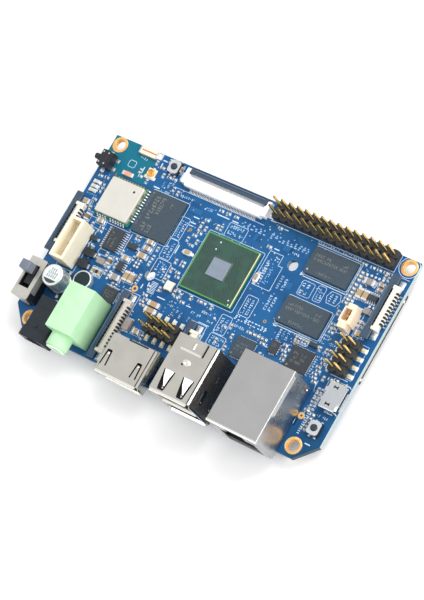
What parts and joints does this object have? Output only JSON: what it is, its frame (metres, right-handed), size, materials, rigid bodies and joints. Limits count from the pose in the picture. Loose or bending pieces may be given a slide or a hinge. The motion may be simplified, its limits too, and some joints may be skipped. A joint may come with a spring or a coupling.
{
  "type": "single board computer",
  "caption": "Rectangular blue circuit board with a bare-die processor, memory, radio module, edge ports, pin headers, flat-cable connectors, buttons and a slide switch.",
  "frame": {"origin": "middle of the overall footprint, on the lowest face, under the card slot", "axes": "+X along the board's long edge towards the micro USB end, +Y from the port edge towards the pin header edge, +Z out of the component side"},
  "size_m": [0.1018, 0.0631, 0.0201],
  "materials": {
    "board_blue": "glass-fibre laminate under glossy blue solder mask",
    "gold_plating": "gold-plated copper",
    "black_plastic": "moulded black, fine matt",
    "chip_epoxy": "dark grey moulding compound",
    "shell_steel": "nickel-plated sheet steel, satin",
    "shield_nickel": "warm nickel plating",
    "jack_green": "light mint green",
    "connector_cream": "natural nylon, cream",
    "lock_grey": "blue-grey moulded",
    "package_green": "green organic substrate",
    "silicon": "bare die, satin mirror",
    "capacitor_aluminium": "bright drawn can"
  },
  "bodies": {
    "board": {"antenna_socket": "gold_plating", "audio_jack_housing": "jack_green", "battery_connector": "connector_cream", "camera_cable_connector": "connector_cream", "capacitor_base": "black_plastic", "capacitor_can": "capacitor_aluminium", "card_slot_base": "black_plastic", "card_slot_cover": "shell_steel", "chip_antenna": "connector_cream", "cpu_die": "silicon", "cpu_substrate": "package_green", "crystal_can": "shield_nickel", "display_cable_connector": "connector_cream", "ethernet_phy_chip": "chip_epoxy", "ethernet_port_insert": "black_plastic", "ethernet_port_shell": "shell_steel", "flash_chip": "chip_epoxy", "gpio_header": "black_plastic", "level_shifter_chip": "chip_epoxy", "micro_usb_shell": "shell_steel", "micro_usb_tongue": "black_plastic", "microphone_capsule": "capacitor_aluminium", "middle_header": "black_plastic", "mount_hole_plating_ne": "gold_plating", "mount_hole_plating_nw": "gold_plating", "mount_hole_plating_se": "gold_plating", "mount_hole_plating_sw": "gold_plating", "panel_cable_connector": "connector_cream", "pcb": "board_blue", "power_jack_housing": "black_plastic", "power_jack_pin": "shell_steel", "power_switch_body": "black_plastic", "power_switch_frame": "shield_nickel", "radio_module_board": "board_blue", "radio_shield_can": "shield_nickel", "ram_chip_lower": "chip_epoxy", "ram_chip_upper": "chip_epoxy", "recovery_button_base": "shield_nickel", "reset_button_base": "shield_nickel", "sensor_cable_connector": "connector_cream", "serial_connector": "connector_cream", "side_button_body": "black_plastic", "side_header": "black_plastic", "touch_cable_connector": "connector_cream", "usb_hub_chip": "chip_epoxy", "usb_port_insulator": "black_plastic", "usb_port_shell": "shell_steel", "video_port_insulator": "black_plastic", "video_port_shell": "shell_steel"},
    "display_cable_lock": {"display_cable_lock": "lock_grey"},
    "camera_cable_lock": {"camera_cable_lock": "lock_grey"},
    "sensor_cable_lock": {"sensor_cable_lock": "lock_grey"},
    "panel_cable_lock": {"panel_cable_lock": "lock_grey"},
    "touch_cable_lock": {"touch_cable_lock": "lock_grey"},
    "power_switch_knob": {"power_switch_knob": "black_plastic"},
    "reset_button_plunger": {"reset_button_plunger": "black_plastic"},
    "recovery_button_plunger": {"recovery_button_plunger": "black_plastic"},
    "side_button_plunger": {"side_button_plunger": "black_plastic"},
    "card_eject_slider": {"card_eject_slider": "lock_grey"}
  },
  "joints": [
    {"name": "display_cable_lock_hinge", "type": "hinge", "parent": "board", "child": "display_cable_lock", "pos_m": [-0.00915, 0.02905, 0.00615], "axis": [1, 0, 0], "range_deg": [0, 90]},
    {"name": "camera_cable_lock_hinge", "type": "hinge", "parent": "board", "child": "camera_cable_lock", "pos_m": [0.0476, 0.0164, 0.00615], "axis": [0, 1, 0], "range_deg": [0, 90]},
    {"name": "sensor_cable_lock_hinge", "type": "hinge", "parent": "board", "child": "sensor_cable_lock", "pos_m": [-0.0483, 0.00265, 0.00615], "axis": [0, 1, 0], "range_deg": [0, 90]},
    {"name": "panel_cable_lock_hinge", "type": "hinge", "parent": "board", "child": "panel_cable_lock", "pos_m": [-0.01955, -0.01795, 0.00615], "axis": [0, 1, 0], "range_deg": [0, 90]},
    {"name": "touch_cable_lock_hinge", "type": "hinge", "parent": "board", "child": "touch_cable_lock", "pos_m": [0.0028, -0.01795, 0.00615], "axis": [0, 1, 0], "range_deg": [0, 90]},
    {"name": "power_switch_slide", "type": "slide", "parent": "board", "child": "power_switch_knob", "axis": [0, 1, 0], "range_m": [-0.002, 0]},
    {"name": "reset_button_press", "type": "slide", "parent": "board", "child": "reset_button_plunger", "axis": [0, 0, -1], "range_m": [0, 0.00025]},
    {"name": "recovery_button_press", "type": "slide", "parent": "board", "child": "recovery_button_plunger", "axis": [0, 0, -1], "range_m": [0, 0.00025]},
    {"name": "side_button_press", "type": "slide", "parent": "board", "child": "side_button_plunger", "axis": [1, 0, 0], "range_m": [0, 0.00025]},
    {"name": "card_eject_slide", "type": "slide", "parent": "board", "child": "card_eject_slider", "axis": [-1, 0, 0], "range_m": [0, 0.003]}
  ]
}
